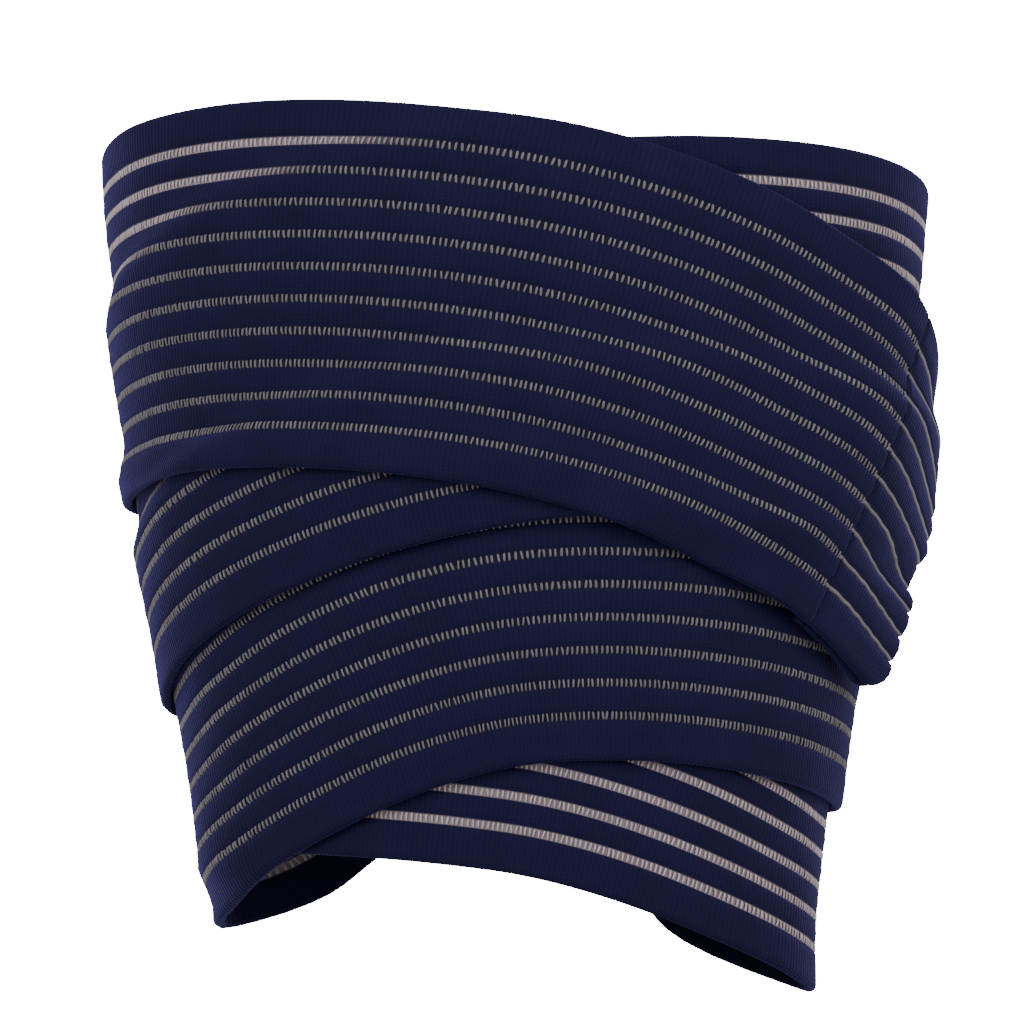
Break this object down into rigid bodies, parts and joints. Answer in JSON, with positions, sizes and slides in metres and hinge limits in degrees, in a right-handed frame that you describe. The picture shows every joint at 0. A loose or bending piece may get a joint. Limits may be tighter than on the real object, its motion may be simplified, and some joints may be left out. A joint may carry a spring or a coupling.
{
  "type": "wrist support brace",
  "caption": "Elastic wrist support band with openwork stripes, wound into a tapered sleeve, with a hemmed hook-closure tail that peels open.",
  "frame": {"origin": "on the axis of the limb hollow, level with the lowest edge of the wrap at its wrist end", "axes": "+Z along the limb from the wrist end to the forearm end; -Y is the front, where the wrap's turns cross; +X is the side where the closure tab ends"},
  "size_m": [0.0935, 0.0684, 0.0946],
  "materials": {
    "band_fabric": "ribbed elastic weave, matt, with off-white openwork stripes",
    "stripe_yarn": "off-white covered elastic yarn",
    "sewing_thread": "twisted polyester thread, satin",
    "hook_nylon": "moulded hook tape, matt"
  },
  "bodies": {
    "wrap": {"elastic_band": "band_fabric", "start_hem": "band_fabric", "start_hem_stitching": "sewing_thread"},
    "tail": {"tail_panel": "band_fabric"},
    "tab": {"closure_tab": "band_fabric", "tail_hem": "band_fabric", "tail_hem_stitching": "sewing_thread", "hook_patch": "hook_nylon", "hook_patch_stitching": "sewing_thread"}
  },
  "joints": [
    {"name": "tail_peel", "type": "hinge", "parent": "wrap", "child": "tail", "pos_m": [0.0189, -0.0355, 0.0631], "axis": [-0.322, -0.039, -0.9459], "range_deg": [0, 70]},
    {"name": "tab_curl", "type": "hinge", "parent": "tail", "child": "tab", "pos_m": [0.0383, -0.0222, 0.05595], "axis": [-0.3531, -0.2471, -0.9024], "range_deg": [0, 60]}
  ]
}
